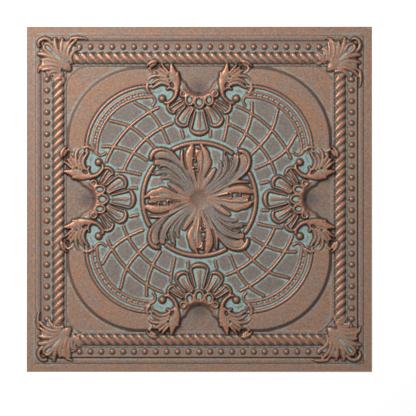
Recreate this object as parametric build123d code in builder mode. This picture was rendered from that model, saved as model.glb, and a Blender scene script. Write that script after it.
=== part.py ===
"""Embossed ceiling tile, made as the real one is: a single thin sheet formed into a relief.

The tile lies face up. Its origin is the centre of the flange's underside, +Z is out of the face.
The design has fourfold rotational symmetry, so each ornament is made once and set round four times.
"""
from math import cos, pi, radians, sin, sqrt
import os

from build123d import *

os.makedirs("parts", exist_ok=True)

# The sheet
tile_side = 603.0
sheet = 0.8

# Border, counted inwards from the tile's edge
flange_width = 15.0
band_width = 8.0
edge_groove = 2.2
bead_row_width = 18.0
lip_width = 1.6
rope_width = 19.5
field_step = 3.4
wall_run = 0.9

# Heights of the face above the flange's face
band_height = 1.2
bead_ground = 2.2
lip_height = 3.2
rope_ground = 2.6
rope_height = 6.6
field_height = 1.0
plateau_height = 6.0
lattice_height = 4.0
shell_height = 6.4
corner_height = 2.8

# Beads in the border
bead_diameter = 10.0
bead_height = 3.0
bead_pitch = 19.0
bead_reach = 55.0
bead_sides = 5
bead_taper = 35.0
boss_sides = 6

# Rope: strands that lean across its ground
strand_pitch = 14.15
strand_lean = 17.0
strand_width = 13.0
rope_reach = 33.0

# Quatrefoil plateau: four round pads, each with a lobe of mouldings in its well
pad_offset = 101.0
pad_radius = 131.0
pad_slope = 6.0
lobe_offset = 85.0
lobe_radius = 116.5
lobe_half_angle = 48.0
moulding_radii = (111.75, 102.75, 93.5)
moulding_heights = (2.0, 1.7, 1.7)
moulding_width = 5.0

# Lattice between the mouldings and the rosette
rib_width = 4.0
rib_height = 1.9
outer_rib_radius = 175.0
outer_rib_start = 113.6
outer_rib_sweep = 45.1
inner_rib_radius = 140.5
inner_rib_start = 108.8
inner_rib_sweep = 50.1

# Ring round the rosette, broken at each diagonal
ring_radius = 98.5
ring_width = 7.0
ring_height = 3.6
ring_start = 143.0
ring_sweep = 66.0

# Rosette: a bowl whose petals dip to a dimple at the centre
rosette_radius = 90.0
crest_radius = 74.0
crest_height = 10.0
hollow_radius = 42.0
hollow_height = 6.6
dimple_radius = 16.0
dimple_height = 2.4
petal_depth = 3.0
petal_base = 3.0
form_taper = 25.0
block_height = 40.0

eighth = 45.0
quarters = 4
half_side = tile_side / 2
on_base = (Align.CENTER, Align.CENTER, Align.MIN)
bite = sheet / 2


def level(height):
    """The z of a face that stands this high above the flange's face."""
    return sheet + height


# Where each step of the border starts, inwards from the tile's edge
band_start = flange_width
groove_start = band_start + band_width
bead_start = groove_start + edge_groove
lip_start = bead_start + bead_row_width
rope_start = lip_start + lip_width
rope_end = rope_start + rope_width
field_start = rope_end + field_step
bead_line = half_side - bead_start - bead_row_width / 2
rope_line = half_side - rope_start - rope_width / 2
well_depth = plateau_height - lattice_height


def draw_border():
    """The border's section: distance from the tile's edge, then z."""
    Polyline(
        (0, level(0)),
        (band_start, level(0)),
        (band_start + wall_run, level(band_height)),
        (groove_start - wall_run, level(band_height)),
        (groove_start, level(0)),
        (bead_start, level(0)),
        (bead_start + 2 * wall_run, level(bead_ground)),
        (lip_start - wall_run, level(bead_ground)),
        (lip_start, level(lip_height)),
        (lip_start + lip_width / 2, level(lip_height)),
        (rope_start, level(rope_ground)),
    )
    Line((rope_start, level(rope_ground)), (rope_end, level(rope_ground)))
    Polyline(
        (rope_end, level(rope_ground)),
        (rope_end + wall_run, level(lip_height)),
        (field_start - wall_run, level(lip_height)),
        (field_start + wall_run, level(field_height)),
        (half_side, level(field_height)),
        (half_side, 0),
        (0, 0),
        (0, level(0)),
    )


# One side of the border with its quarter of the field, mitred on the tile's diagonals
side_plane = Plane(origin=(0, half_side, 0), x_dir=(0, -1, 0), z_dir=(-1, 0, 0))
with BuildPart() as side:
    with BuildSketch(side_plane):
        with BuildLine():
            draw_border()
        make_face()
    extrude(amount=half_side, both=True)
    for lean in (1, -1):
        split(bisect_by=Plane(origin=(0, 0, 0), z_dir=(lean, 1, 0)), keep=Keep.TOP)



def tapered_pad(outline, foot, top):
    """A raised pad with sloping walls, from the foot height up to the top height."""
    with BuildPart() as pad:
        with BuildSketch(Plane.XY.offset(level(foot))):
            Polygon(*outline, align=None)
        extrude(amount=top - foot, taper=form_taper)
    return pad.part
# The fan under each shell, and the block under each corner's palmette
lobe_place = Location((-lobe_offset, lobe_offset, 0))
shell_pad = tapered_pad(
    [
        (-13, 113), (13, 113), (31, 127), (44, 149), (56, 163), (44, 186), (0, 186),
        (-44, 186), (-56, 163), (-44, 149), (-31, 127),
    ],
    field_height,
    shell_height,
)
palmette_pad = tapered_pad(
    [
        (-209, 258), (-209, 283), (-283, 283), (-283, 209), (-258, 209),
        (-226, 209), (-217, 220), (-209, 226),
    ],
    0,
    corner_height,
)

# The main forms, solid down to the flange's underside
with BuildPart() as main_forms:
    with PolarLocations(0, quarters):
        add(side.part)
    with PolarLocations(sqrt(2) * pad_offset, quarters, start_angle=eighth):
        with Locations((0, 0, level(field_height))):
            Cone(pad_radius, pad_radius - pad_slope, plateau_height - field_height, align=on_base)
    with PolarLocations(sqrt(2) * lobe_offset, quarters, start_angle=eighth):
        with Locations((0, 0, level(lattice_height))):
            Cone(lobe_radius - wall_run, lobe_radius, well_depth, align=on_base, mode=Mode.SUBTRACT)
    Cylinder(rosette_radius, level(plateau_height), align=on_base, mode=Mode.SUBTRACT)
    with BuildSketch(Plane.XZ):
        with BuildLine():
            Polyline(
                (dimple_radius, level(dimple_height)),
                (0, level(dimple_height)),
                (0, 0),
                (rosette_radius, 0),
                (rosette_radius, level(lattice_height)),
                (crest_radius, level(crest_height - petal_depth)),
                (hollow_radius, level(hollow_height - petal_depth)),
                close=True,
            )
        make_face()
    revolve(axis=Axis.Z)
    with PolarLocations(0, quarters):
        add([shell_pad, palmette_pad])


def ridge_section(width, height):
    """A ridge's section: wide at its foot, with one crest."""
    Polygon((-width / 2, -bite), (width / 2, -bite), (0, height), align=None)


def ring_bar(radius, width, height, base, start, sweep_angle):
    """A ridge bent to an arc about the origin, on a face at the base height."""
    outward = Vector(cos(radians(start)), sin(radians(start)), 0)
    foot = Vector(0, 0, level(base)) + outward * radius
    with BuildPart() as bar:
        with BuildSketch(Plane(origin=foot, x_dir=outward, z_dir=outward.rotate(Axis.Z, -90))):
            ridge_section(width, height)
        revolve(axis=Axis.Z, revolution_arc=sweep_angle)
    return bar.part


def blade(stations, base):
    """A leaf lobe, rib or flute: a ridge through stations of x, y, width and height.

    The heights are above the flange's face, and the base is that of the face it stands on.
    """
    points = [Vector(x, y, level(base)) for x, y, width, height in stations]
    with BuildPart() as lobe:
        for index, (x, y, width, height) in enumerate(stations):
            before = points[max(index - 1, 0)]
            after = points[min(index + 1, len(points) - 1)]
            along = (after - before).normalized()
            with BuildSketch(Plane(origin=points[index], x_dir=along.rotate(Axis.Z, 90), z_dir=along)):
                ridge_section(width, height - base)
        loft(ruled=True)
    return lobe.part


def mirrored(stations):
    """The same stations on the other side of the tile's middle line."""
    return [(-x, y, width, height) for x, y, width, height in stations]


def make_lobe():
    """The three mouldings of the lobe at -X, +Y."""
    start = 3 * eighth - lobe_half_angle
    return [
        ring_bar(radius, moulding_width, height, lattice_height, start, 2 * lobe_half_angle).moved(lobe_place)
        for radius, height in zip(moulding_radii, moulding_heights)
    ]


def make_beads():
    """The beads of the top side."""
    count = 2 * int((bead_line - bead_reach) / bead_pitch) + 1
    with BuildPart() as beads:
        with BuildSketch(Plane.XY.offset(level(bead_ground) - bite)):
            with Locations((0, bead_line)):
                with GridLocations(bead_pitch, 0, count, 1):
                    RegularPolygon(bead_diameter / 2, bead_sides)
        extrude(amount=bead_height + bite, taper=bead_taper)
    return beads.part.solids()


def make_strands():
    """The rope strands of the top side, each a short ridge that leans across the rope's ground."""
    count = int((rope_line - rope_reach) / strand_pitch)
    along = Vector(strand_lean, -rope_width, 0)
    start = Vector(0, rope_line, level(rope_ground)) - along * 0.5
    with BuildPart() as strand:
        with BuildSketch(Plane(origin=start, x_dir=(1, 0, 0), z_dir=(0, -1, 0))):
            ridge_section(strand_width, rope_height - rope_ground)
        extrude(amount=along.length, dir=along)
    return [
        strand.part.moved(Location((index * strand_pitch, 0, 0)))
        for index in range(-count, count + 1)
    ]


# The lobes and ridges below are drawn once, for the tile's top side or its corner at -X, +Y.
# A station is x, y, width and height above the flange's face.
lattice_ribs = [
    [(-31, 121, 3.6, 5.9), (-27, 107, 3.6, 5.9)],
    [(-113, 169, 3.6, 5.9), (-78, 143, 3.6, 5.9), (-53, 96.5, 3.6, 5.9)],
    [(-157, 137.5, 3.6, 5.9), (-118, 125, 3.6, 5.9), (-76.5, 89, 3.6, 5.9)],
    [(-170, 92, 3.6, 5.9), (-134, 88.5, 3.6, 5.9), (-90, 67, 3.6, 5.9)],
    [(-143, 49.5, 3.6, 5.9), (-101, 42.5, 3.6, 5.9)],
    [(-121, 20, 3.6, 5.9), (-109, 19, 3.6, 5.9)],
    [(-86, 183, 3.4, 5.8), (-77.5, 173, 3.4, 6.2), (-83, 162, 3.4, 5.8)],
    [(-184, 90, 3.4, 5.8), (-174, 77, 3.4, 6.2), (-162, 81, 3.4, 5.8)],
]
field_corner_line = [
    (-200, 232, 2, 2.2), (-222, 222, 2, 2.2), (-232, 197, 2, 2.2),
]
palmette_lobes = [
    [(-222, 236, 6, 4.8), (-224, 248, 7, 7.5), (-215, 262, 4, 5)],
    [(-229, 238, 6, 5), (-232, 256, 7, 8.2), (-218, 279, 3, 4.4)],
    [(-238, 243, 8, 5.6), (-245, 260, 9, 8.6), (-245, 281, 4, 4.8)],
    [(-243, 247, 7, 6), (-264, 269, 10, 8.8)],
    [(-242, 239, 8, 5.6), (-259, 250, 8, 8.6), (-281, 253, 4, 4.8)],
    [(-238, 229, 6, 5), (-255, 238, 8, 8.2), (-276, 237, 3, 4.6)],
    [(-239, 221, 6, 5), (-254, 225, 7, 7.4), (-272, 223, 4, 4.6)],
    [(-220, 228, 10, 3.6), (-240, 238, 12, 5.4)],
]
half_shell_flutes = [
    [(-7, 153, 4, 9.4), (-15, 121, 4, 7.6)],
    [(-19, 160, 4, 9.4), (-33, 138, 4, 7.6)],
    [(-20, 129, 6, 7.8), (-37, 133, 7, 8.8), (-41, 143, 5, 7.6)],
    [(-43, 150, 6, 7.8), (-54, 157, 6, 8.6), (-52, 168, 4, 7.6)],
]
shell_middle = [
    [(0, 153, 4, 9.6), (0, 117, 4, 7.8)],
    [(-16, 120, 5, 7.8), (0, 115, 7, 9), (16, 120, 5, 7.8)],
]
shell_ovals = [(0, 169, 9, 11.5, 10.4), (-17, 173.5, 8, 10.5, 10.2), (17, 173.5, 8, 10.5, 10.2)]
scroll_lobes = [
    [(-66, 169, 5, 7.6), (-48, 170, 6, 9.4), (-38.5, 200, 7.5, 10.4)],
    [(-38, 200, 7.5, 10.4), (-42, 219, 8, 10.4), (-50, 237, 4, 9)],
    [(-44, 212, 7, 10), (-67, 231, 4, 8.4)],
    [(-48, 206, 6, 9.8), (-70, 214, 6, 9), (-88, 211, 3, 7.2)],
    [(-46, 197, 6, 9.4), (-64, 203, 6, 8.8), (-83, 200, 3, 7.2)],
    [(-90, 232, 4, 8), (-74, 240, 7, 9.4)],
]
scroll_ball = (-66, 177.5, 9, 9, 8.4)
petal_lobes = [
    [(-14, 28, 6, 5.4), (-27, 54, 9, 9), (-32, 87, 5, 9.2)],
    [(-12, 36, 8, 6.8), (-20, 64, 14, 10), (-17, 91, 9, 9.4)],
    [(0, 20, 11, 4.8), (1, 60, 17, 9.6), (2.5, 90, 10, 9.6)],
    [(5, 28, 8, 6), (20, 67, 9, 10)],
    [(6, 20, 7, 4.8), (26, 55, 9, 9)],
    [(-17, 34, 6, 6.6), (-40, 68, 10, 10.4), (-63, 84.5, 12, 10.8), (-84, 72, 8, 9.4)],
    [(-14, 17, 6, 4.8), (-45, 49, 12, 9), (-71, 53, 8, 9.6)],
    [(-12, 14, 5, 4.6), (-50, 43, 10, 9), (-83, 46, 6, 9.4)],
    [(-17, 13, 6, 4.6), (-46, 33, 12, 8.6), (-70, 34, 7, 9)],
]
scroll_outline = [
    (-32, 205), (-40, 231), (-49, 239), (-58, 237), (-70, 244), (-84, 243), (-94, 234), (-92, 215),
    (-95, 194), (-86, 184), (-72, 184), (-72, 172), (-62, 163), (-46, 167), (-35, 184),
]


def make_boss(x, y, width, length, height, base):
    """A round boss with sloping sides."""
    with BuildPart() as boss:
        with BuildSketch(Plane(origin=(x, y, level(base) - bite))):
            Polygon(*boss_outline(width, length), align=None)
        with BuildSketch(Plane(origin=(x, y, level(height)))):
            Polygon(*boss_outline(width / 2, length / 2), align=None)
        loft(ruled=True)
    return boss.part


def make_scroll_pads():
    """The raised ground under the top side's two scrolls."""
    with BuildPart() as pads:
        with BuildSketch(Plane.XY.offset(level(plateau_height))):
            Polygon(*scroll_outline, align=None)
            mirror(about=Plane.YZ)
        extrude(amount=-level(plateau_height))
    return pads.part.solids()


def boss_outline(width, length):
    """Eight corners of an oval."""
    angles = [2 * pi * (corner + 0.5) / boss_sides for corner in range(boss_sides)]
    return [(width / 2 * cos(angle), length / 2 * sin(angle)) for angle in angles]


# What stands on the top side, and what stands in the corner at -X, +Y
top_side = make_beads() + make_strands()
top_side += [blade(line, shell_height) for line in half_shell_flutes]
top_side += [blade(mirrored(line), shell_height) for line in half_shell_flutes]
top_side += [blade(line, shell_height) for line in shell_middle]
top_side += make_scroll_pads()
top_side += [blade(line, plateau_height) for line in scroll_lobes]
top_side += [blade(mirrored(line), plateau_height) for line in scroll_lobes]
top_side += [make_boss(*oval, shell_height) for oval in shell_ovals]
top_side += [make_boss(hand * scroll_ball[0], *scroll_ball[1:], lattice_height) for hand in (1, -1)]
top_side += [blade(line, petal_base) for line in petal_lobes]
top_side.append(ring_bar(ring_radius, ring_width, ring_height, lattice_height, ring_start, ring_sweep))
corner = make_lobe()
corner.append(ring_bar(outer_rib_radius, rib_width, rib_height, lattice_height, outer_rib_start, outer_rib_sweep))
corner.append(ring_bar(inner_rib_radius, rib_width, rib_height, lattice_height, inner_rib_start, inner_rib_sweep))
corner += [blade(line, lattice_height) for line in lattice_ribs]
corner.append(blade(field_corner_line, field_height))
corner += [blade(line, corner_height) for line in palmette_lobes]


def reaches_quarter(piece):
    """Whether a piece has anything at -X, +Y."""
    box = piece.bounding_box()
    return box.min.X < 0 and box.max.Y > 0


quarter_turn = Location((0, 0, 0), (0, 0, 2 * eighth))
ornaments = corner + top_side + [piece.moved(quarter_turn) for piece in top_side]
ornaments = [piece for piece in ornaments if reaches_quarter(piece)]
quarter_middle = (-half_side / 2, half_side / 2, 0)
with BuildPart() as quarter_forms:
    add(main_forms.part)
    with Locations(quarter_middle):
        Box(half_side, half_side, block_height, mode=Mode.INTERSECT)

with BuildPart() as quarter:
    add(quarter_forms.part)
    add(ornaments, clean=False)
    with Locations(quarter_middle):
        Box(half_side, half_side, block_height, mode=Mode.INTERSECT)
    # the back follows the main forms, one sheet below their faces
    add(quarter_forms.part.moved(Location((0, 0, -sheet))), mode=Mode.SUBTRACT, clean=False)

with BuildPart() as tile:
    with PolarLocations(0, quarters):
        add(quarter.part)

tile.part.label = "ceiling_tile"
export_step(tile.part, "parts/ceiling_tile.step")
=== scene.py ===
"""An embossed ceiling tile: one thin sheet, formed over a tool and painted as aged copper.

The tool is modelled first, from turned forms, bars, beads and leaf lobes. A fine grid is let down on
it for one quarter of the tile, the tool is thrown away, and the grid is given its back and its edge and
set round four times, since the design turns by quarters. Lists of sizes are in millimetres, heights
above the flange's face.
"""
from math import cos, pi, radians, sin, sqrt

import bpy
import numpy as np
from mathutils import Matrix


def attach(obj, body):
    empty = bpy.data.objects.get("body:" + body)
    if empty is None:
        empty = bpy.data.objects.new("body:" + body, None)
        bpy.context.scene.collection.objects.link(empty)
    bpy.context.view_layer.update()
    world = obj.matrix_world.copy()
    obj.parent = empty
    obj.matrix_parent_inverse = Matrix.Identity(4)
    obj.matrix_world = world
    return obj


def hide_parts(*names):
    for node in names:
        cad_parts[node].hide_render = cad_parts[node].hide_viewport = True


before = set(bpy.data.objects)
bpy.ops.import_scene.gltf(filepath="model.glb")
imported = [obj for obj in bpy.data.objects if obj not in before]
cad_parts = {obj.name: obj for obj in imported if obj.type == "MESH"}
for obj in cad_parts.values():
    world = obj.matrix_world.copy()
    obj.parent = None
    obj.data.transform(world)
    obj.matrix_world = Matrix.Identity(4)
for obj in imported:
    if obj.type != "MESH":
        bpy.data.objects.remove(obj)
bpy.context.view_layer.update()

MM = 0.001
SHEET = 0.8
HALF_SIDE = 301.5
CELLS = 287
MARGIN_CELLS = 8
CELL = HALF_SIDE / CELLS
QUARTERS = 4
SHARP_ANGLE = 65.0
ABOVE_TOOL = 30.0
RIDGE_FLATNESS = 0.8
BODY_FLATNESS = 0.34
# How much of the face's mesh the back keeps
BACK_SHARE = 0.13
SOFTENING = 0.5
SOFTENINGS = 2

# The border's section: distance from the tile's centre line, height
BORDER_SECTION = [
    (304, 0), (287.2, 0), (286.5, 0.9), (285.4, 1.3), (282.3, 1.5), (280, 1.3), (278.9, 0.5),
    (278.2, 0.05), (276.8, 0.05), (276.2, 0.5), (275.4, 2.5), (274.4, 3.0), (273.5, 2.5), (272.6, 2.1),
    (259, 2.1), (258.3, 2.5), (257.7, 3.4), (256.8, 3.4), (256.1, 1.7), (255.4, 1.4), (252, 3.4),
    (248.5, 4.3), (245.6, 4.6), (242.6, 4.3), (239, 3.4), (236, 1.3), (235.4, 1.2), (234.8, 2.7),
    (233.6, 2.9), (232.4, 1.5), (231, 1.0), (0, 1.0),
]
# Where dirt and painted shade darken the flange's step, as distances from the tile's centre line
STEP_LINE = (285.4, 286, 286.9, 287.5)
# The rosette's bowl: distance from the centre, height
BOWL_SECTION = [
    (96, 3.4), (91, 4.0), (86, 5.0), (76, 6.2), (60, 6.0), (42, 4.8), (28, 3.9), (21, 3.9), (17.5, 4.3),
    (15, 3.7), (11, 2.0), (7, 1.3), (3.5, 1.0), (0.01, 0.9),
]
PAD_OFFSET = 101.0
PAD_RADIUS = 131.0
PAD_SLOPE = 6.0
LOBE_OFFSET = 85.0
LOBE_RADIUS = 116.5
WELL_SLOPE = 1.4
CENTRE_WELL = 40.0
OVERCUT = 0.01
PAD_STEPS = 160
CENTRE_WELL_STEPS = 96
BOWL_STEPS = 128
PLATEAU = 6.0
FIELD = 1.0
LATTICE = 4.0
LOBE_HALF_ANGLE = 48.0
# Radius about the lobe's centre, width, height
MOULDINGS = [(111.8, 5.2, 6.3), (102.8, 3.4, 5.6), (93.5, 3.8, 5.9)]
# Radius of the pearls' ring, their pitch, their radius and rise
PEARLS = (98.2, 10.7, 2.8, 1.8)

# The dark hollow outside each shell, soot and painted shade: distance from the centre, reach and share of
# soot and painted shade
NICHE = 193.0
NICHE_REACH = 15.0
SOOT_AND_SHADE_SHARE = 0.8

# Where patina lies thickest, in the shells, scrolls and palmettes: x, y and reach
DAMP = [(0, 144, 38), (-62, 196, 24), (62, 196, 24), (-262, 262, 26)]

BEAD_LINE = 266.0
BEAD_PITCH = 19.0
BEADS_EACH_WAY = 11
BEAD_RADIUS = 4.6
BEAD_RISE = 3.6
BEAD_GROUND = 2.1

ROPE_LINE = 245.7
STRAND_PITCH = 14.15
STRANDS_EACH_WAY = 15
STRAND = [
    (-9.5, 9.2, 6, 3.2), (-5.6, 5.6, 10, 6.2), (0, 0, 11.6, 7.0), (5.4, -5.2, 10, 6.2),
    (9.8, -8.8, 6, 3.2),
]

# The lattice's ribs: their width and height, and their lines as x and y, for the corner at -X, +Y
RIB = 4.7
RIB_TOP = 6.35
LATTICE_RIBS = [
    [(-31, 122), (-27, 106)],
    [(-114, 169.5), (-86.5, 152), (-65.5, 124), (-53, 96.5)],
    [(-157, 137.5), (-122, 127), (-93, 105.5), (-76.5, 89)],
    [(-170, 92), (-148, 91), (-115, 81), (-90, 67)],
    [(-146, 49.8), (-130, 48.5), (-101, 42.5)],
    [(-121, 20), (-108, 19)],
]
# Arcs about the tile's centre: radius, first and last angle, width, height
CENTRE_ARCS = [
    (175, 113.6, 158.7, RIB, RIB_TOP), (140.5, 108.8, 158.9, RIB, RIB_TOP), (98.5, 143, 209, 7.6, 8.2),
]
# Lines of the other ridges: x, y, width, height, for the top side or for the corner at -X, +Y
VOLUTES = [
    [(-94, 188, 3, 5.8), (-86, 183, 3.4, 6.1), (-79.5, 178, 3.6, 6.4), (-77, 171, 3.6, 6.4),
     (-82.5, 162, 3.4, 6)],
    [(-188, 97, 3, 5.8), (-184, 90, 3.4, 6.1), (-179, 79.5, 3.6, 6.4), (-171, 76.5, 3.6, 6.4),
     (-162, 81, 3.4, 6)],
]
FIELD_CORNER = [
    [(-198, 233.2, 2.4, 2.2), (-212, 228.5, 2.6, 2.3), (-221, 221, 2.6, 2.3), (-228.5, 212, 2.6, 2.3),
     (-233.2, 198, 2.4, 2.2)],
]
PALMETTE_BODIES = [
    [(-225, 225, 7, 4), (-231, 231, 17, 6.8), (-241, 241, 30, 8)],
    [(-236, 236, 20, 7.2), (-252, 252, 34, 7.9), (-268, 268, 34, 6.9)],
    [(-229, 240, 14, 6.8), (-235, 258, 24, 7.6), (-238, 273, 22, 6.2)],
    [(-240, 229, 14, 6.8), (-258, 235, 24, 7.6), (-273, 238, 22, 6.2)],
    [(-225, 242, 12, 5.8), (-223, 255, 16, 6), (-217, 266, 12, 4.6)],
    [(-242, 225, 12, 5.8), (-255, 223, 16, 6), (-265, 218, 12, 4.6)],
]
PALMETTE = [
    [(-222, 236, 6, 6.4), (-224.5, 247, 7.4, 8), (-220.5, 256, 7.4, 7.6), (-214, 260.5, 5.6, 6),
     (-208, 261.5, 3, 4.4)],
    [(-228, 240, 6, 7), (-229.5, 253, 7, 8.8), (-226, 265, 7.4, 8), (-219, 274, 6.4, 6.4),
     (-213, 279, 3.4, 4.6)],
    [(-226, 280, 5.6, 5), (-213, 281.8, 6, 5.6), (-203, 281, 4.6, 5), (-195, 279, 2.4, 3.4)],
    [(-232, 241, 6, 7.2), (-235.5, 254, 7, 8.8), (-232, 266, 7.4, 8), (-227, 275, 5.6, 6.2),
     (-223, 279, 3.4, 4.8)],
    [(-236, 244, 6, 7.4), (-240.5, 258, 8, 9), (-240.5, 271, 8.4, 8), (-238.5, 281, 5, 5.6)],
    [(-239.5, 243.5, 6.4, 7.6), (-247.5, 257, 9, 9.3), (-251.5, 271, 10, 8.4), (-252, 282, 5.6, 5.6)],
    [(-244, 247, 5, 7.6), (-254, 260, 6, 9.3), (-262.5, 270.5, 6.4, 9.2), (-270, 271, 5, 8)],
    [(-247, 244, 5, 7.6), (-260, 254, 6, 9.3), (-270.5, 262.5, 6.4, 9.2), (-271.5, 269, 5, 8)],
    [(-257, 272, 5, 6.6), (-263, 278.5, 6.6, 7.2), (-272, 280, 7, 7.2), (-280.5, 273, 6.4, 6.6),
     (-279, 265, 4, 5.8)],
    [(-243.5, 239.5, 6.4, 7.6), (-257, 248, 9, 9.3), (-271, 252.5, 9.4, 8.2), (-283, 254, 5, 5.4)],
    [(-241, 235, 6, 7.2), (-255, 241, 8, 9), (-268, 243.5, 8, 7.6), (-277, 243, 4.6, 5.2)],
    [(-239, 229.5, 6, 7), (-253, 234.5, 7.4, 8.8), (-266, 235, 7.4, 7.8), (-275, 232.5, 5.6, 6),
     (-281, 229.5, 3.4, 4.6)],
    [(-270, 229.5, 5, 6), (-278.5, 228, 5, 5.2), (-281.5, 221, 3, 4.2)],
    [(-241, 224.5, 6, 6.4), (-255, 228, 8, 8), (-268, 227, 7.4, 7), (-276, 225, 4.4, 4.8)],
    [(-241, 220.5, 5, 5.8), (-252, 223, 6, 7.4), (-260, 220.5, 6, 6.6), (-262, 213.5, 4.4, 5)],
    [(-239, 218.5, 4.6, 5.4), (-248, 216.5, 6, 6.6), (-255, 210, 5, 5.2), (-257.5, 205.5, 3, 4)],
    [(-240, 215, 4.4, 5), (-237, 209.5, 5.6, 5.4), (-236, 202, 3.4, 3.6)],
]
SHELL_BODIES = [
    [(0, 163, 18, 7.8), (0, 140, 22, 6.3), (0, 119, 30, 5.6)],
    [(-12, 162, 12, 7.8), (-24, 146, 16, 6.3), (-31, 134, 24, 5.6)],
    [(-22, 170, 12, 7.8), (-38, 160, 14, 6.3), (-47, 156, 18, 5.6)],
]
COVE = [
    [(-32, 204, 5, 4.4), (-31.5, 196, 8, 7), (-25, 186, 12, 8.6), (-12, 179.5, 14, 9.3),
     (0, 177.5, 14, 9.4)],
]
# The round hollow behind each shell: its middle's distance from the tile's centre, radius of its floor
# and of its rim, its floor's height, its depth, and how far from the tile's centre it reaches
HOLLOW = (209.0, 20.0, 32.0, 1.2, 8.0, 229.5)
SHELL = [
    [(-7, 154, 3.4, 9.4), (-11, 138, 3.6, 8.2), (-15.5, 121, 3.8, 7.8)],
    [(-10, 158, 3.2, 9.2), (-17, 144, 3.2, 8), (-21, 131, 3.2, 7.4)],
    [(-17, 159, 3.2, 9), (-26, 146, 3.2, 7.6), (-31, 137, 2.6, 6.8)],
    [(-24, 162, 3.4, 9.4), (-34, 151, 3.6, 8.2), (-40.5, 141, 3.8, 7.8)],
    [(-27, 167, 3.4, 9.4), (-38, 159, 3.6, 8.2), (-44, 153, 3.8, 7.8)],
    [(-29, 173, 3.4, 9.4), (-41, 166, 3.6, 8.2), (-51, 159, 3.8, 7.8)],
    [(-19, 130.5, 3.4, 7.6), (-28, 128, 6, 9), (-37, 132.5, 7, 9.3), (-41, 142, 3.6, 7.8)],
    [(-42.5, 150, 4, 7.8), (-50.5, 153, 5, 8.8), (-54.5, 160.5, 5, 8.8), (-52.5, 168, 4, 7.8)],
]
SHELL_MIDDLE = [
    [(0, 154, 3.2, 9.2), (0, 137, 3.2, 7.6), (0, 122, 2.6, 6.8)],
    [(-15.5, 121, 3.4, 7.4), (-8.5, 116.4, 6.6, 9), (0, 114.8, 8.6, 9.6), (8.5, 116.4, 6.6, 9),
     (15.5, 121, 3.4, 7.4)],
]
# Ovals of the shell: x, y, half widths of the rim's line, rim's width and height, height of the drop
OVALS = [
    (0, 169.5, 7.8, 10.2, 4.6, 10.5, 9),
    (-17, 173.4, 6.8, 9, 4.4, 10.3, 8.8),
    (-28, 184, 4.8, 5, 4, 9.6, 8.2),
]
# How far a drop's crown stays under the height listed
DROP_SINK = 1.4
SCROLL_BODIES = [
    [(-41, 190, 8, 10), (-39.5, 200, 12, 10.5), (-43, 211, 20, 10.5), (-46, 220, 15, 10.2),
     (-47.5, 228, 9, 9.6), (-49, 237, 4, 8.8)],
    [(-40, 212, 9, 10.3), (-36.5, 222, 4, 9.2)],
    [(-50, 202, 12, 8.6), (-62, 206, 14, 7.8), (-76, 206, 14, 7)],
    [(-54, 214, 12, 8.8), (-63, 221, 12, 8), (-71, 228, 10, 7)],
    [(-76, 238, 8, 7.6), (-86, 232, 8, 6.8)],
]
SCROLL = [
    [(-61.5, 168.8, 4.8, 8.6), (-55.5, 168, 5.2, 9), (-48, 172, 5.8, 9.8), (-43, 177.5, 6.4, 10.2),
     (-40, 185, 7.2, 10.5), (-38.5, 195, 8, 10.6), (-39.5, 204, 7, 10.6)],
    [(-40, 187, 4.4, 9.6), (-46, 192.5, 4.8, 9.4), (-52, 194, 4.6, 9), (-57, 191, 3.8, 8.2)],
    [(-50, 196.5, 5, 9.8), (-60, 202, 6.4, 9.6), (-68.5, 202, 6.4, 9.2), (-75.5, 198, 5.6, 8.6),
     (-83, 193.5, 3, 7.6)],
    [(-50, 203, 3.4, 10), (-60, 208, 4.4, 9.6), (-68, 209.2, 4.4, 9), (-76, 206.6, 4.2, 8.6),
     (-84, 200, 2.6, 7.6)],
    [(-52, 208.5, 5, 10.2), (-63.2, 214, 6.6, 9.8), (-73, 215.3, 6.6, 9.2), (-81.5, 214, 6.2, 8.6),
     (-87, 210.5, 5.2, 7.8), (-88.5, 206, 3, 7.2)],
    [(-57, 213, 7, 10.2), (-65, 217.5, 7, 9.6), (-71, 221.5, 4.8, 9), (-77.5, 226, 2.6, 8.2)],
    [(-55, 217, 3.4, 10.2), (-63.2, 224, 3.6, 9.4), (-72, 232, 2.6, 8.2)],
    [(-52, 219, 5, 10.2), (-58, 226, 5.4, 9.8), (-62.5, 231, 4.6, 9.2), (-66.5, 236, 2.6, 8.4)],
    [(-89, 202.5, 4, 7.4), (-91.5, 195, 6.6, 8), (-89, 188.5, 6, 7.8), (-85, 184.5, 3, 7)],
    [(-92, 230.5, 3, 7.8), (-87.5, 236, 5, 8.8), (-82, 239.3, 7.6, 9.6), (-77, 240, 8.4, 9.8),
     (-72.5, 239.6, 3, 9)],
    [(-88, 230, 6.4, 8.4), (-85, 225.5, 5, 8), (-82, 219.5, 2.6, 7.4)],
]
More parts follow.
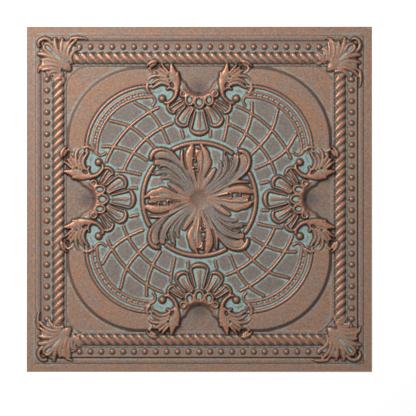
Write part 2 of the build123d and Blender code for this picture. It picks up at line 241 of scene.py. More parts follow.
# Balls: x, y, radius, rise, height of their middle
BALLS = [(-64.5, 175.5, 6.2, 5, 5)]
ROPE_END = [
    [(-217, 243.5, 8, 6.4), (-209, 244.5, 10.5, 7.2)],
    [(-243.5, 217, 8, 6.4), (-244.5, 209, 10.5, 7.2)],
]
PETAL_BODIES = [
    [(-4.2, 17.5, 4, 5), (-8, 33, 5, 6.2), (-13, 45.5, 9, 8), (-16, 56, 11, 9.3), (-17.5, 68, 14, 10.1),
     (-16.8, 80, 14.5, 10.3), (-13.2, 91, 10, 8.8), (-12.6, 95, 3, 7.8)],
    [(-4.5, 89, 4, 9), (-4.5, 84, 8, 9.6), (0, 80, 14, 9.6), (3, 68, 15, 9.4), (3, 55.8, 13, 8.6),
     (1, 40, 9, 7), (0, 24, 7, 5.7), (0, 16.5, 6, 5)],
    [(2.5, 95, 3, 8.4), (6, 90, 7, 9.2), (11.5, 81, 11, 10.2), (13.5, 72.7, 10, 10.2),
     (15.5, 64.7, 13, 10.1), (13.6, 56.7, 11, 9.4), (9, 45.4, 8, 7.8), (5, 34, 6, 6.4),
     (2.8, 18, 4, 5)],
    [(27.5, 54, 6, 9.2), (21.6, 43.8, 10, 8.8), (14.4, 33.4, 11, 7.4), (8, 22.9, 9, 6), (5.2, 16, 8, 5)],
    [(-8.5, 17, 4, 4.7), (-14, 29, 5, 5.6), (-27, 54, 8, 8.4), (-40, 68, 12, 9.3), (-52, 76, 16, 9.3),
     (-66, 79, 17, 8.8), (-78, 76, 14, 8)],
    [(-9.5, 14.5, 4, 4.4), (-13, 20, 6, 4.8), (-33, 44, 9, 7.4), (-50, 59, 11, 8.5), (-66, 64, 12, 8.2),
     (-78, 64, 10, 7.6)],
    [(-12, 14, 6, 4.4), (-37, 36.6, 8, 7.2), (-56, 47, 10, 8.4), (-76, 45, 8, 7.8)],
    [(-15, 12, 6, 4.4), (-38.6, 31, 8, 7.2), (-57, 38, 8, 8.2), (-67, 35.5, 6, 7.6)],
]
PETALS = [
    [(-7.6, 16.3, 2.4, 5.2), (-16.9, 33.4, 3, 6.6), (-23.3, 45.4, 4, 8.6), (-28.2, 58.3, 5, 10),
     (-30.6, 71.9, 6, 10.6), (-29.8, 86.5, 4.4, 9.2)],
    [(-3, 17.6, 2.2, 5.2), (-5, 29, 2.6, 6.2), (-8.5, 42, 3.4, 8.2), (-10, 50, 4.4, 9.6)],
    [(-12, 53.5, 2.8, 9.8), (-6.5, 56.2, 3, 10), (-1.7, 52.8, 2.8, 9.6), (-5.7, 48, 2.4, 9)],
    [(-12.5, 70, 2.6, 10.4), (-7, 71.5, 2.6, 10.2), (-8.1, 63.5, 2.4, 9.8)],
    [(1.5, 85, 3.4, 10.5), (-4.1, 82, 3.6, 10.4), (-5.4, 74, 2.8, 10)],
    [(2.6, 86, 5, 10.6), (3.9, 72, 6.4, 10.7), (3.1, 55.8, 5.6, 9.9), (0.8, 40, 4, 7.9),
     (0.4, 28, 3.4, 6.4), (0.2, 17.6, 2.4, 5.3)],
    [(-8.8, 16, 2.2, 5.1), (-14.5, 29.4, 2.6, 6.6), (-20.9, 41.4, 2.8, 8.4), (-29, 56.6, 3.2, 9.8),
     (-37.8, 69.5, 3.8, 10.5), (-45, 78.3, 4.6, 10.7), (-54.6, 84.7, 5.4, 10.7), (-63.5, 87, 6, 10.7),
     (-73, 86, 7.6, 10.7), (-80, 81.5, 9, 10.6), (-83.5, 74.5, 8.6, 10.3), (-84.3, 67.5, 5, 9)],
    [(-11.5, 13.6, 2, 4.9), (-16.1, 18.9, 2.4, 5.5), (-24.9, 30.2, 2.8, 7.1), (-35.4, 42.2, 3.2, 8.7),
     (-45, 50.2, 3.4, 9.6), (-54.6, 56.6, 3.6, 10), (-63, 58.8, 3.2, 9.6), (-71, 55, 2.6, 8.8)],
    [(-10.4, 14.8, 1.8, 4.9), (-20, 27, 2, 6.2), (-33, 44.5, 2.4, 8.3), (-50, 60, 2.6, 9.3),
     (-64, 67, 2.6, 9), (-76, 68, 2.4, 8.4)],
    [(-13.4, 11.5, 2, 4.9), (-17.7, 14.9, 2.4, 5.4), (-26.6, 25.3, 2.8, 6.9), (-37, 36.6, 3.2, 8.4),
     (-46.6, 43.8, 3.4, 9.4), (-56.2, 47, 3.6, 9.9), (-65.9, 47, 3.4, 9.7), (-75, 43.6, 2.8, 8.9),
     (-83, 45, 2.4, 8.2)],
    [(-15, 9.6, 2.2, 4.9), (-20.9, 13.7, 2.6, 5.5), (-29, 22.9, 2.8, 6.8), (-38.6, 31, 3.2, 8.2),
     (-48.2, 36.6, 3.4, 9.2), (-57, 38.2, 3.4, 9.5), (-66, 36.6, 2.8, 8.8)],
]

# What the wear masks measure, each with the values at which the mask is 0 and at which it is 1.
# Height above the flange's face, in millimetres; four values are a window's foot, low, high and head
LATTICE_HEIGHTS = (3.3, 3.6, 4.6, 5.3)
BOWL_HEIGHTS = (3.3, 3.6, 4.7, 5.4)
NICHE_HEIGHTS = (0.6, 0.85, 1.1, 1.3)
BORDER_HEIGHTS = (1.1, 1.3, 2.6, 3.0)
BLOOM_HEIGHTS = (1.4, 3.2)
RIM_FOOT = (2.6, 3.4)
RIM_TOP = (PLATEAU + 0.8, PLATEAU + 0.3)
# How far the bowl's ground stands above the lattice's, in millimetres
BOWL_LIFT = 1.4
# Reach of the plateaus' rim past their radius, in millimetres: foot, low, high and head
RIM_REACH = (-13, -11, 2, 4)
# Distance from the tile's middle, in metres
IN_BOWL = (0.1, 0.095)
PAST_EYE = (0.016, 0.024)
PAST_PETALS = (0.035, 0.06)
IN_THROAT = (0.024, 0.01)
# How near a diagonal a place is: 0 on the middle lines, 0.5 on the diagonals
ON_DIAGONAL = (0.33, 0.43)
OFF_DIAGONAL = (0.3, 0.18)
# Height over the surroundings, in millimetres
CREST_RELIEF = (0.2, 0.8)
CREASE_RELIEF = (-0.17, -0.5)
BLOOM_RELIEF = (-0.13, -0.45)
# Upward part of the face's normal, where slopes take glaze and painted shade, and share of soot and painted
# shade
SLOPE_NORMAL = (0.95, 0.78)
BLOOM_SOOT_AND_SHADE = (0.25, 0.03)

# How much one thing adds to a mask or takes from it
LEVEL_SPREAD = 0.5
BLOOM_SPREAD = 0.3
BLOOM_DAMP = 0.22
BLOOM_LOW = 0.4
BOWL_SHARE = 0.8
PETAL_SHARE = 0.9
# Painted shade, with glaze, in the bowl's throat
THROAT_GLAZE_AND_SHADE = 0.45
STEP_SHARE = 0.6
DAMP_DULLS = 0.6
RIM_DULLS = 1.45
CREST_DULLED = 0.65
# Noises of the paint: waves a metre, detail and roughness
MOTTLE = (28.0, 5.0, 0.6)
GRAIN = (330.0, 3.0, 0.75)

# How much of each layer of paint covers the layers below it, and the finish
MOTTLE_TINT = (0.35, 0.68)
BORDER_COVER = 0.45
BLOOM_COVER = 0.95
BORDER_RINSE = 0.6
CREST_COVER = 0.85
# The slopes' glaze and the creases' dirt are deepened with painted shade
SLOPE_COVER = 0.7
CREASE_COVER = 0.74
GRAIN_DARK = (0.15, 0.15, 0.17, 1)
GRAIN_LIGHT = (1.85, 1.85, 1.83, 1)
METAL = 0.55
LEAST_BARE = 0.25
ROUGHNESS = 0.62
CREST_POLISH = 0.2
SPECULAR = 0.4
BUMP_STRENGTH = 0.5
BUMP_DEPTH = 0.0005

# The white ground: its side, its drop under the tile, its look, and the glow that keeps it white
GROUND_SIDE = 8
GROUND_DROP = 0.0002
GROUND_WHITE = (0.9, 0.9, 0.9, 1)
GROUND_ROUGHNESS = 0.9
GROUND_LIFT = 0.36

# The view, with the tile's side and its place off the picture's middle in pixels
PICTURE_SIDE = 416
TILE_PIXELS = 345.0
MIDDLE_OFF = (8.7, -8.8)
CAMERA_DISTANCE = 3.0
SENSOR = 36.0
KEY_ENERGY = 30
KEY_SIZE = 0.9
KEY_PLACE = (-0.88, 0.9, 1.28)
SURROUND = 0.34


def work_on(piece):
    """Makes a piece the only one selected, and active."""
    bpy.ops.object.select_all(action="DESELECT")
    piece.select_set(True)
    bpy.context.view_layer.objects.active = piece


def joined(parts, name):
    """Joins meshes into one."""
    bpy.ops.object.select_all(action="DESELECT")
    for part in parts:
        part.select_set(True)
    bpy.context.view_layer.objects.active = parts[0]
    bpy.ops.object.join()
    parts[0].name = name
    return parts[0]


def added(name):
    """The object that the last operator added, named."""
    piece = bpy.context.active_object
    piece.name = name
    return piece


def set_round(piece):
    """Copies a mesh round the tile's centre, a quarter turn apart."""
    work_on(piece)
    bpy.ops.object.mode_set(mode="EDIT")
    bpy.ops.mesh.select_all(action="SELECT")
    copies = QUARTERS - 1
    bpy.ops.mesh.spin(steps=copies, dupli=True, angle=copies * pi / 2, center=(0, 0, 0), axis=(0, 0, 1))
    bpy.ops.object.mode_set(mode="OBJECT")
    return piece


def mirrored(lines):
    """Lines on the other side of the tile's middle line."""
    return [[(-x, y, width, top) for x, y, width, top in line] for line in lines]


def ridges(name, lines, flatness, closed=False):
    """Round-topped ridges along lines, as flattened tubes whose tops stand at the heights given."""
    curve = bpy.data.curves.new(name, "CURVE")
    curve.dimensions = "3D"
    curve.bevel_depth = MM
    curve.bevel_resolution = 3
    curve.resolution_u = 8
    curve.use_fill_caps = True
    for line in lines:
        spline = curve.splines.new("BEZIER")
        spline.use_cyclic_u = closed
        spline.bezier_points.add(len(line) - 1)
        for point, (x, y, width, top) in zip(spline.bezier_points, line):
            middle = SHEET + top - flatness * width / 2
            point.co = (x * MM, y * MM, middle * MM / flatness)
            point.radius = width / 2
            point.handle_left_type = point.handle_right_type = "AUTO"
    piece = bpy.data.objects.new(name, curve)
    bpy.context.scene.collection.objects.link(piece)
    work_on(piece)
    bpy.ops.object.convert(target="MESH")
    piece = added(name)
    piece.scale = (1, 1, flatness)
    bpy.ops.object.transform_apply(location=False, rotation=False, scale=True)
    return piece


def arc(centre_x, centre_y, radius, first, last, width, top, steps=10):
    """A ridge's line along an arc, angles in degrees."""
    angles = [radians(first + (last - first) * step / steps) for step in range(steps + 1)]
    return [(centre_x + radius * cos(a), centre_y + radius * sin(a), width, top) for a in angles]


def turned(name, section, steps, reach):
    """A section turned about the tile's centre: a square frame in four steps, a bowl in many."""
    turn = radians(45 if steps == QUARTERS else 0)
    points = [(r * reach * cos(turn) * MM, r * reach * sin(turn) * MM, (SHEET + z) * MM) for r, z in section]
    mesh = bpy.data.meshes.new(name)
    mesh.from_pydata(points, [(i, i + 1) for i in range(len(points) - 1)], [])
    piece = bpy.data.objects.new(name, mesh)
    bpy.context.scene.collection.objects.link(piece)
    work_on(piece)
    bpy.ops.object.mode_set(mode="EDIT")
    bpy.ops.mesh.select_all(action="SELECT")
    bpy.ops.mesh.spin(steps=steps, angle=2 * pi, center=(0, 0, 0), axis=(0, 0, 1))
    bpy.ops.mesh.select_all(action="SELECT")
    bpy.ops.mesh.remove_doubles(threshold=0.01 * MM)
    bpy.ops.object.mode_set(mode="OBJECT")
    return piece


def plateau_tool():
    """The four raised round pads, with the wells of the mouldings cut into them."""
    pads, wells = [], []
    height = PLATEAU - FIELD
    well_height = PLATEAU - LATTICE + OVERCUT
    for index in range(QUARTERS):
        angle = radians(45 + 90 * index)
        for offset, store, low, high, base, tall in (
            (PAD_OFFSET, pads, PAD_RADIUS, PAD_RADIUS - PAD_SLOPE, FIELD, height),
            (LOBE_OFFSET, wells, LOBE_RADIUS - WELL_SLOPE, LOBE_RADIUS, LATTICE, well_height),
        ):
            reach = sqrt(2) * offset * MM
            bpy.ops.mesh.primitive_cone_add(
                vertices=PAD_STEPS, radius1=low * MM, radius2=high * MM, depth=tall * MM,
                location=(reach * cos(angle), reach * sin(angle), (SHEET + base + tall / 2) * MM),
            )
            store.append(added("pad"))
    bpy.ops.mesh.primitive_cylinder_add(
        vertices=CENTRE_WELL_STEPS, radius=CENTRE_WELL * MM, depth=well_height * MM,
        location=(0, 0, (SHEET + (PLATEAU + LATTICE) / 2) * MM),
    )
    wells.append(added("pad"))
    plateau = joined(pads, "plateau")
    well = joined(wells, "wells")
    work_on(plateau)
    cut = plateau.modifiers.new("wells", "BOOLEAN")
    cut.object = well
    cut.operation = "DIFFERENCE"
    cut.solver = "EXACT"
    cut.use_self = True
    bpy.ops.object.modifier_apply(modifier="wells")
    bpy.data.objects.remove(well)
    return plateau


def ball(x, y, radius, rise, middle):
    """A flattened ball whose middle stands at the height given."""
    bpy.ops.mesh.primitive_uv_sphere_add(
        segments=20, ring_count=12, radius=radius * MM, location=(x * MM, y * MM, (SHEET + middle) * MM)
    )
    piece = added("ball")
    piece.scale = (1, 1, rise / radius)
    bpy.ops.object.transform_apply(location=True, rotation=True, scale=True)
    return piece


def row(piece, pitch, count):
    """Repeats a mesh along X."""
    work_on(piece)
    array = piece.modifiers.new("row", "ARRAY")
    array.count = count
    array.use_relative_offset = False
    array.use_constant_offset = True
    array.constant_offset_displace = (pitch * MM, 0, 0)
    bpy.ops.object.modifier_apply(modifier="row")
    return piece


def oval_line(x, y, half_width, half_height, width, top, steps=10):
    """The line of an oval rim."""
    angles = [2 * pi * step / steps for step in range(steps)]
    return [(x + half_width * cos(a), y + half_height * sin(a), width, top) for a in angles]


def make_tool():
    """The whole forming tool as one mesh."""
    both_hands = SCROLL + mirrored(SCROLL) + SHELL + mirrored(SHELL) + SHELL_MIDDLE
    ribs = [[(x, y, RIB, RIB_TOP) for x, y in line] for line in LATTICE_RIBS]
    lines = both_hands + ribs + VOLUTES + FIELD_CORNER + PALMETTE + PETALS + ROPE_END
    lines += COVE + mirrored(COVE)
    lines += [arc(0, 0, *values) for values in CENTRE_ARCS]
    first, last = 135 - LOBE_HALF_ANGLE, 135 + LOBE_HALF_ANGLE
    for radius, width, top in MOULDINGS:
        lines.append(arc(-LOBE_OFFSET, LOBE_OFFSET, radius, first, last, width, top))
    ovals = [oval_line(*oval[:6]) for oval in OVALS]
    ovals += mirrored(ovals[1:])
    bodies = PALMETTE_BODIES + SHELL_BODIES + mirrored(SHELL_BODIES[1:])
    bodies += SCROLL_BODIES + mirrored(SCROLL_BODIES) + PETAL_BODIES
    parts = [
        ridges("ridges", lines, RIDGE_FLATNESS),
        ridges("rims", ovals, RIDGE_FLATNESS, closed=True),
        ridges("bodies", bodies, BODY_FLATNESS),
    ]
    for x, y, half_width, half_height, width, top, drop in OVALS:
        for hand in (1, -1):
            parts.append(ball(hand * x, y, half_width, drop - PLATEAU - DROP_SINK, PLATEAU))
    for x, y, radius, rise, middle in BALLS:
        parts += [ball(x, y, radius, rise, middle), ball(-x, y, radius, rise, middle)]
    bead = ball(-BEADS_EACH_WAY * BEAD_PITCH, BEAD_LINE, BEAD_RADIUS, BEAD_RISE, BEAD_GROUND)
    parts.append(row(bead, BEAD_PITCH, 2 * BEADS_EACH_WAY + 1))
    line = [(x - STRANDS_EACH_WAY * STRAND_PITCH, y + ROPE_LINE, width, top) for x, y, width, top in STRAND]
    strand = ridges("strand", [line], RIDGE_FLATNESS)
    parts.append(row(strand, STRAND_PITCH, 2 * STRANDS_EACH_WAY + 1))
    radius, pitch, pearl, rise = PEARLS
    step = pitch / radius
    count = int(radians(LOBE_HALF_ANGLE) / step)
    for index in range(-count, count + 1):
        angle = radians(135) + step * index
        x, y = -LOBE_OFFSET + radius * cos(angle), LOBE_OFFSET + radius * sin(angle)
        parts.append(ball(x, y, pearl, rise, LATTICE))
    quarter = set_round(joined(parts, "quarter"))
    frame_form = turned("border", BORDER_SECTION, QUARTERS, sqrt(2))
    bowl = turned("bowl", BOWL_SECTION, BOWL_STEPS, 1)
    return joined([quarter, frame_form, bowl, plateau_tool()], "tool")


def drape(tool):
    """A quarter of the sheet's face, let down on the tool, with a margin past the tile's middle lines."""
    count = CELLS + MARGIN_CELLS
    size = count * CELL * MM
    shift = (MARGIN_CELLS - CELLS) * CELL / 2 * MM
    bpy.ops.mesh.primitive_grid_add(
        x_subdivisions=count, y_subdivisions=count, size=size, location=(shift, -shift, ABOVE_TOOL * MM)
    )
    face = added("ceiling_tile_face")
    bpy.ops.object.transform_apply(location=True, rotation=True, scale=True)
    drop = face.modifiers.new("drop", "SHRINKWRAP")
    drop.wrap_method = "PROJECT"
    drop.target = tool
    drop.use_project_z = True
    drop.use_negative_direction = True
    drop.use_positive_direction = False
    bpy.ops.object.modifier_apply(modifier="drop")
    bpy.data.objects.remove(tool)
    soften = face.modifiers.new("soften", "SMOOTH")
    soften.use_x = soften.use_y = False
    soften.factor = SOFTENING
    soften.iterations = SOFTENINGS
    bpy.ops.object.modifier_apply(modifier="soften")
    return face


def press_hollows(face):
    """Presses the round hollow behind each of the quarter's two shells."""
    middle, floor_radius, rim_radius, floor, depth, end = HOLLOW
    mesh = face.data
    places = np.empty(len(mesh.vertices) * 3, np.float32)
    mesh.vertices.foreach_get("co", places)
    places = places.reshape(-1, 3)
    across, along = places[:, 0] / MM, places[:, 1] / MM
    for side, outward in ((across, along), (along, -across)):
        distance = np.hypot(side, outward - middle)
        rise = np.clip((distance - floor_radius) / (rim_radius - floor_radius), 0, 1)
        limit = (SHEET + floor + depth * rise * rise * (3 - 2 * rise)) * MM
        inside = (distance < rim_radius) & (outward < end)
        places[:, 2] = np.where(inside, np.minimum(places[:, 2], limit), places[:, 2])
    mesh.vertices.foreach_set("co", places.ravel())
    mesh.update()


def blurred(field, reach):
    """A height field averaged over a square window three times, close to a round blur."""
    for axis in (0, 1) * 3:
        padded = np.pad(field, [(reach + 1, reach) if k == axis else (0, 0) for k in (0, 1)], mode="edge")
        total = np.cumsum(padded, axis=axis)
        width = 2 * reach + 1
        if axis == 0:
            field = (total[width:] - total[:-width]) / width
        else:
            field = (total[:, width:] - total[:, :-width]) / width
    return field


def store(mesh, name, values):
    """Keeps one value for each point of a mesh."""
    attribute = mesh.attributes.new(name, "FLOAT", "POINT")
    attribute.data.foreach_set("value", values.astype(np.float32).ravel())


def measure_relief(face):
    """Stores how far each point stands above its near and its wider surroundings, in millimetres,
    and how much soot and painted shade, and how much patina, its place gathers.
    """
    mesh = face.data
    count = len(mesh.vertices)
    places = np.empty(count * 3, np.float32)
    mesh.vertices.foreach_get("co", places)
    side = int(round(sqrt(count)))
    heights = places.reshape(-1, 3)[:, 2].reshape(side, side).astype(float) / MM
    for name, near, far in (("near_relief", 0, 1), ("mid_relief", 1, 3)):
        base = blurred(heights, near) if near else heights
        store(mesh, name, base - blurred(heights, far))
    across, along = (places.reshape(-1, 3)[:, axis] / MM for axis in (0, 1))
    # Soot and painted shade in the hollow behind each shell
    soot_and_shade = np.zeros(count)
    for x, y in ((0, NICHE), (-NICHE, 0)):
        soot_and_shade += np.exp(-((across - x) ** 2 + (along - y) ** 2) / NICHE_REACH ** 2)
    store(mesh, "soot_and_shade", soot_and_shade * SOOT_AND_SHADE_SHARE)
    damp = np.zeros(count)
    for x, y, reach in DAMP:
        damp += np.exp(-((across - x) ** 2 + (along - y) ** 2) / reach ** 2)
        damp += np.exp(-((along - x) ** 2 + (across + y) ** 2) / reach ** 2)
    store(mesh, "damp", np.minimum(damp, 1.0))


def trim_margin(face):
    """Removes the margin past the tile's middle lines."""
    work_on(face)
    bpy.ops.object.mode_set(mode="EDIT")
    bpy.ops.mesh.select_mode(type="VERT")
    bpy.ops.mesh.select_all(action="DESELECT")
    bpy.ops.object.mode_set(mode="OBJECT")
    limit = 0.25 * CELL * MM
    for vertex in face.data.vertices:
        vertex.select = vertex.co.x > limit or vertex.co.y < -limit
    bpy.ops.object.mode_set(mode="EDIT")
    bpy.ops.mesh.delete(type="VERT")
    bpy.ops.object.mode_set(mode="OBJECT")


def add_back(face):
    """Gives the face its thickness: a coarser back, one sheet lower, bridged to it round the edge."""
    work_on(face)
    bpy.ops.object.duplicate()
    back = added("back")
    bpy.ops.object.mode_set(mode="EDIT")
    bpy.ops.mesh.select_all(action="DESELECT")
    bpy.ops.mesh.select_mode(type="VERT")
    bpy.ops.mesh.select_non_manifold()
    bpy.ops.object.vertex_group_assign_new()
    bpy.ops.object.mode_set(mode="OBJECT")
    thin = back.modifiers.new("thin", "DECIMATE")
    thin.ratio = BACK_SHARE
    thin.vertex_group = back.vertex_groups.active.name
    thin.invert_vertex_group = True
    bpy.ops.object.modifier_apply(modifier="thin")
    bpy.ops.object.mode_set(mode="EDIT")
    bpy.ops.mesh.select_all(action="SELECT")
    bpy.ops.mesh.flip_normals()
    bpy.ops.transform.translate(value=(0, 0, -SHEET * MM))
    bpy.ops.object.mode_set(mode="OBJECT")
    sheet = joined([face, back], "ceiling_tile_quarter")
    bpy.ops.object.mode_set(mode="EDIT")
    bpy.ops.mesh.select_all(action="DESELECT")
    bpy.ops.mesh.select_mode(type="EDGE")
    bpy.ops.mesh.select_non_manifold(
        extend=False, use_wire=False, use_multi_face=False, use_non_contiguous=False, use_verts=False
    )
    bpy.ops.mesh.bridge_edge_loops()
    bpy.ops.mesh.select_mode(type="VERT")
    bpy.ops.object.mode_set(mode="OBJECT")
    return sheet


def make_tile():
    """The four quarters of the formed sheet."""
    face = drape(make_tool())
    press_hollows(face)
    measure_relief(face)
    trim_margin(face)
    sheet = add_back(face)
    work_on(sheet)
    bpy.ops.object.shade_smooth_by_angle(angle=radians(SHARP_ANGLE))
    quarters = [sheet]
    for index in range(1, QUARTERS):
        work_on(sheet)
        bpy.ops.object.duplicate()
        copy = added(f"ceiling_tile_quarter_{index + 1}")
        copy.rotation_euler = (0, 0, index * pi / 2)
        bpy.ops.object.transform_apply(location=True, rotation=True, scale=True)
        quarters.append(copy)
    sheet.name = "ceiling_tile_quarter_1"
    return quarters


def colour(red, green, blue):
    """A colour given as it looks on a screen, 0 to 255, as the shader's linear values."""
    parts = [value / 255 for value in (red, green, blue)]
    return [part / 12.92 if part < 0.04045 else ((part + 0.055) / 1.055) ** 2.4 for part in parts] + [1]


# Layers of the paint, as they look on a screen
TAN = colour(160, 121, 97)
DULL_TAN = colour(148, 124, 110)
COPPER = colour(191, 135, 107)
GREY_PATINA = colour(127, 116, 108)
GREEN_PATINA = colour(150, 174, 169)
# Dark glaze for the slopes, deepened as painted shade
GLAZE_AND_SHADE = colour(94, 70, 61)
# Dirt for the creases, deepened as painted shade
DIRT_AND_SHADE = colour(46, 42, 40)
# Soot for the hollows behind the shells, deepened as painted shade
SOOT_AND_SHADE = colour(92, 82, 82)


def new_group(name, outputs):
    """An empty node group with a float or colour output for each name given."""
    group = bpy.data.node_groups.new(name, "ShaderNodeTree")
    for label, kind in outputs:
        group.interface.new_socket(label, in_out="OUTPUT", socket_type=kind)
    return group, group.nodes.new("NodeGroupOutput")


def add_node(tree, kind, links=(), **settings):
    """A node with its sockets set: a value, or the output socket that feeds it."""
    node = tree.nodes.new(kind)
    for name, value in settings.items():
        setattr(node, name, value)
    for name, value in links:
        if isinstance(value, bpy.types.NodeSocket):
            tree.links.new(value, node.inputs[name])
        else:
            node.inputs[name].default_value = value
    return node


def calc(tree, operation, first, second):
    """One operation on two values."""
    return add_node(tree, "ShaderNodeMath", [(0, first), (1, second)], operation=operation).outputs[0]


def soft_step(tree, value, low, high):
    """Rises smoothly from 0 at low to 1 at high; falls where high is below low."""
    links = [("Value", value), ("From Min", low), ("From Max", high)]
    return add_node(tree, "ShaderNodeMapRange", links, interpolation_type="SMOOTHSTEP").outputs["Result"]


def mix_colour(tree, share, first, second, blend="MIX"):
    """Two colours mixed."""
    node = add_node(tree, "ShaderNodeMix", data_type="RGBA", blend_type=blend)
    for index, value in ((0, share), (6, first), (7, second)):
        if isinstance(value, bpy.types.NodeSocket):
            tree.links.new(value, node.inputs[index])
        else:
            node.inputs[index].default_value = value
    return node.outputs[2]


def noise(tree, place, scale, detail=2.0, roughness=0.5):
    """A noise value about 0.5; the scale is in waves a metre."""
    links = [("Vector", place), ("Scale", scale), ("Detail", detail), ("Roughness", roughness)]
    return add_node(tree, "ShaderNodeTexNoise", links).outputs["Fac"]


def relief(tree, name):
    """One of the relief values stored on the sheet."""
    return add_node(tree, "ShaderNodeAttribute", attribute_name=name).outputs["Fac"]


def window(tree, value, foot, low, high, head):
    """Rises from foot to low, stays at 1, and falls from high to head."""
    rise = soft_step(tree, value, foot, low)
    fall = soft_step(tree, value, head, high)
    return calc(tree, "MULTIPLY", rise, fall)


def wear_group():
    """Where copper shows, where patina lies, where glaze and painted shade darken the slopes and the throat,
    where dirt and painted shade darken the creases, where soot and painted shade darken the hollows behind
    the shells, and the paint's grain.
    """
    names = ("Ground", "Border", "Crest", "Slope", "CreaseDirtAndShade", "Bloom", "SootAndShade", "Mottle", "Grain")
    tree, out = new_group("wear", [(name, "NodeSocketFloat") for name in names])
    coordinates = add_node(tree, "ShaderNodeTexCoord").outputs
    place = coordinates["Object"]
    across, along, height = add_node(tree, "ShaderNodeSeparateXYZ", [("Vector", place)]).outputs
    upright = add_node(tree, "ShaderNodeSeparateXYZ", [("Vector", coordinates["Normal"])]).outputs["Z"]
    height = calc(tree, "SUBTRACT", calc(tree, "DIVIDE", height, MM), SHEET)
    mottle = noise(tree, place, *MOTTLE)
    spread = calc(tree, "SUBTRACT", mottle, 0.5)
    near, mid, soot_and_shade, damp = (relief(tree, name) for name in ("near_relief", "mid_relief", "soot_and_shade", "damp"))

    from_middle = add_node(tree, "ShaderNodeVectorMath", [(0, place)], operation="LENGTH").outputs["Value"]
    product = calc(tree, "ABSOLUTE", calc(tree, "MULTIPLY", across, along), 0)
    diagonal = calc(tree, "DIVIDE", product, calc(tree, "MULTIPLY", from_middle, from_middle))
    in_bowl = soft_step(tree, from_middle, *IN_BOWL)
    petals = calc(tree, "MULTIPLY", soft_step(tree, diagonal, *ON_DIAGONAL), in_bowl)
    petals = calc(tree, "MULTIPLY", petals, soft_step(tree, from_middle, *PAST_EYE))
    level = calc(tree, "ADD", height, calc(tree, "MULTIPLY", spread, LEVEL_SPREAD))
    lattice = window(tree, level, *LATTICE_HEIGHTS)
    bowl = window(tree, calc(tree, "SUBTRACT", level, BOWL_LIFT), *BOWL_HEIGHTS)
    bowl = calc(tree, "MULTIPLY", bowl, in_bowl)
    lattice = calc(tree, "MAXIMUM", lattice, calc(tree, "MULTIPLY", bowl, BOWL_SHARE))
    lattice = calc(tree, "MULTIPLY", lattice, soft_step(tree, from_middle, *PAST_PETALS))
    niche = window(tree, height, *NICHE_HEIGHTS)
    niche = calc(tree, "MULTIPLY", niche, soft_step(tree, diagonal, *OFF_DIAGONAL))
    border = calc(tree, "MAXIMUM", niche, window(tree, height, *BORDER_HEIGHTS))
    crest = soft_step(tree, calc(tree, "ADD", near, mid), *CREST_RELIEF)
    throat = soft_step(tree, from_middle, *IN_THROAT)
    # Glaze and painted shade on the steep slopes, and painted shade in the bowl's throat
    slope = soft_step(tree, upright, *SLOPE_NORMAL)
    slope = calc(tree, "MAXIMUM", slope, calc(tree, "MULTIPLY", throat, THROAT_GLAZE_AND_SHADE))
    bloom = calc(tree, "ADD", mid, calc(tree, "MULTIPLY", spread, BLOOM_SPREAD))
    bloom = calc(tree, "SUBTRACT", bloom, calc(tree, "MULTIPLY", damp, BLOOM_DAMP))
    bloom = soft_step(tree, bloom, *BLOOM_RELIEF)
    rising = calc(tree, "MULTIPLY", soft_step(tree, height, *BLOOM_HEIGHTS), 1 - BLOOM_LOW)
    bloom = calc(tree, "MULTIPLY", bloom, calc(tree, "ADD", BLOOM_LOW, rising))
    bloom = calc(tree, "MULTIPLY", bloom, soft_step(tree, soot_and_shade, *BLOOM_SOOT_AND_SHADE))
    bloom = calc(tree, "MULTIPLY", bloom, calc(tree, "SUBTRACT", 1.0, throat))
    dull = calc(tree, "MAXIMUM", border, petals)
    dull = calc(tree, "MAXIMUM", dull, calc(tree, "MULTIPLY", damp, DAMP_DULLS))
    sides = [calc(tree, "ABSOLUTE", side, 0) for side in (across, along)]
    sides = [calc(tree, "SUBTRACT", side, PAD_OFFSET * MM) for side in sides]
    from_pad = calc(tree, "ADD", *(calc(tree, "MULTIPLY", side, side) for side in sides))
    bounds = [((PAD_RADIUS + reach) * MM) ** 2 for reach in RIM_REACH]
    rim = window(tree, from_pad, *bounds)
    rim = calc(tree, "MULTIPLY", rim, soft_step(tree, height, *RIM_TOP))
    rim = calc(tree, "MULTIPLY", rim, soft_step(tree, height, *RIM_FOOT))
    dull = calc(tree, "MAXIMUM", dull, calc(tree, "MULTIPLY", rim, RIM_DULLS))
    # Dirt and painted shade along the flange's step and in the creases
    outer = calc(tree, "MAXIMUM", calc(tree, "ABSOLUTE", across, 0), calc(tree, "ABSOLUTE", along, 0))
    step = window(tree, outer, *(value * MM for value in STEP_LINE))
    step = calc(tree, "MULTIPLY", step, STEP_SHARE)
    crease_dirt_and_shade = calc(tree, "MAXIMUM", soft_step(tree, near, *CREASE_RELIEF), step)
    undulled = calc(tree, "SUBTRACT", 1.0, calc(tree, "MULTIPLY", dull, CREST_DULLED))
    values = {
        "Ground": calc(tree, "MAXIMUM", lattice, calc(tree, "MULTIPLY", petals, PETAL_SHARE)),
        "Border": border,
        "Crest": calc(tree, "MULTIPLY", crest, undulled),
        "Slope": slope,
        "CreaseDirtAndShade": crease_dirt_and_shade,
        "Bloom": calc(tree, "MULTIPLY", bloom, calc(tree, "SUBTRACT", 1.0, slope)),
        "SootAndShade": soot_and_shade,
        "Mottle": mottle,
        "Grain": noise(tree, place, *GRAIN),
    }
    for name, value in values.items():
        tree.links.new(value, out.inputs[name])
    return tree


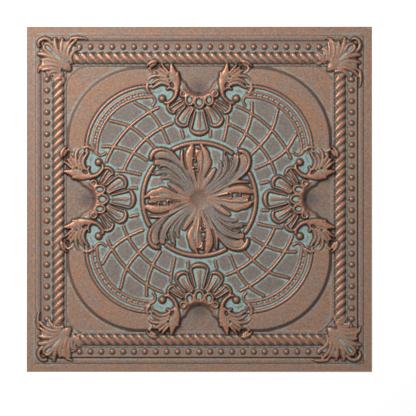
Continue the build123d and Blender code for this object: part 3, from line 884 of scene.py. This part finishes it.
def make_patina():
    """Copper paint, aged: patina on the grounds and in the recesses, a dark glaze with painted shade on the
    slopes, and dirt and soot with painted shade in the creases and hollows.
    """
    material = bpy.data.materials.new("aged_copper")
    material.use_nodes = True
    tree = material.node_tree
    wear = add_node(tree, "ShaderNodeGroup", node_tree=wear_group()).outputs
    tint = mix_colour(tree, soft_step(tree, wear["Mottle"], *MOTTLE_TINT), TAN, DULL_TAN)
    tint = mix_colour(tree, calc(tree, "MULTIPLY", wear["Border"], BORDER_COVER), tint, GREY_PATINA)
    tint = mix_colour(tree, wear["Ground"], tint, GREY_PATINA)
    # Soot and painted shade in the hollow behind each shell
    tint = mix_colour(tree, wear["SootAndShade"], tint, SOOT_AND_SHADE)
    rinsed = calc(tree, "SUBTRACT", BLOOM_COVER, calc(tree, "MULTIPLY", wear["Border"], BORDER_RINSE))
    tint = mix_colour(tree, calc(tree, "MULTIPLY", wear["Bloom"], rinsed), tint, GREEN_PATINA)
    tint = mix_colour(tree, calc(tree, "MULTIPLY", wear["Crest"], CREST_COVER), tint, COPPER)
    # Dark glaze and painted shade on the slopes and in the throat
    tint = mix_colour(tree, calc(tree, "MULTIPLY", wear["Slope"], SLOPE_COVER), tint, GLAZE_AND_SHADE)
    # Dirt and painted shade in the creases and along the flange's step
    tint = mix_colour(tree, calc(tree, "MULTIPLY", wear["CreaseDirtAndShade"], CREASE_COVER), tint, DIRT_AND_SHADE)
    light = mix_colour(tree, wear["Grain"], GRAIN_DARK, GRAIN_LIGHT)
    tint = mix_colour(tree, 1.0, tint, light, "MULTIPLY")
    shader = tree.nodes["Principled BSDF"]
    tree.links.new(tint, shader.inputs["Base Color"])
    bare = calc(tree, "MAXIMUM", wear["Crest"], LEAST_BARE)
    metal = calc(tree, "MULTIPLY", bare, calc(tree, "SUBTRACT", 1.0, wear["Ground"]))
    tree.links.new(calc(tree, "MULTIPLY", metal, METAL), shader.inputs["Metallic"])
    polish = calc(tree, "MULTIPLY", wear["Crest"], CREST_POLISH)
    tree.links.new(calc(tree, "SUBTRACT", ROUGHNESS, polish), shader.inputs["Roughness"])
    shader.inputs["Specular IOR Level"].default_value = SPECULAR
    links = [("Strength", BUMP_STRENGTH), ("Distance", BUMP_DEPTH), ("Height", wear["Grain"])]
    bump = add_node(tree, "ShaderNodeBump", links)
    tree.links.new(bump.outputs["Normal"], shader.inputs["Normal"])
    return material



def make_floor():
    """A plain ground that looks white, also in the tile's gloss, and keeps the tile's shadow."""
    bpy.ops.mesh.primitive_plane_add(size=GROUND_SIDE, location=(0, 0, -GROUND_DROP))
    floor = added("ground")
    material = bpy.data.materials.new("white_ground")
    material.use_nodes = True
    shader = material.node_tree.nodes["Principled BSDF"]
    shader.inputs["Base Color"].default_value = GROUND_WHITE
    shader.inputs["Roughness"].default_value = GROUND_ROUGHNESS
    shader.inputs["Emission Color"].default_value = (1, 1, 1, 1)
    seen = add_node(material.node_tree, "ShaderNodeLightPath").outputs
    mirrored_rays = calc(material.node_tree, "MAXIMUM", seen["Is Glossy Ray"], seen["Is Transmission Ray"])
    white = calc(material.node_tree, "MAXIMUM", seen["Is Camera Ray"], mirrored_rays)
    lift = calc(material.node_tree, "MULTIPLY", white, GROUND_LIFT)
    material.node_tree.links.new(lift, shader.inputs["Emission Strength"])
    floor.data.materials.append(material)


def place_camera():
    """Looks straight down; the tile lies a little left of and above the picture's middle."""
    pixel = 2 * HALF_SIDE / TILE_PIXELS
    camera = bpy.data.objects.new("camera", bpy.data.cameras.new("camera"))
    bpy.context.scene.collection.objects.link(camera)
    camera.data.sensor_width = SENSOR
    camera.data.lens = SENSOR * CAMERA_DISTANCE / (PICTURE_SIDE * pixel * MM)
    camera.location = (*(side * pixel * MM for side in MIDDLE_OFF), CAMERA_DISTANCE)
    bpy.context.scene.camera = camera


def place_lamps():
    """A broad lamp above and to the upper left, and a dim even surround."""
    key = bpy.data.objects.new("key", bpy.data.lights.new("key", "AREA"))
    key.data.energy = KEY_ENERGY
    key.data.size = KEY_SIZE
    key.location = KEY_PLACE
    key.rotation_euler = (-key.location).to_track_quat("-Z", "Y").to_euler()
    bpy.context.scene.collection.objects.link(key)
    world = bpy.data.worlds.new("surround")
    world.use_nodes = True
    world.node_tree.nodes["Background"].inputs["Color"].default_value = (1, 1, 1, 1)
    world.node_tree.nodes["Background"].inputs["Strength"].default_value = SURROUND
    bpy.context.scene.world = world


place_camera()
place_lamps()
make_floor()
patina = make_patina()
for quarter in make_tile():
    quarter.data.materials.clear()
    quarter.data.materials.append(patina)
    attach(quarter, "root")
    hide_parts("ceiling_tile")

bpy.context.scene.view_settings.view_transform = "Standard"
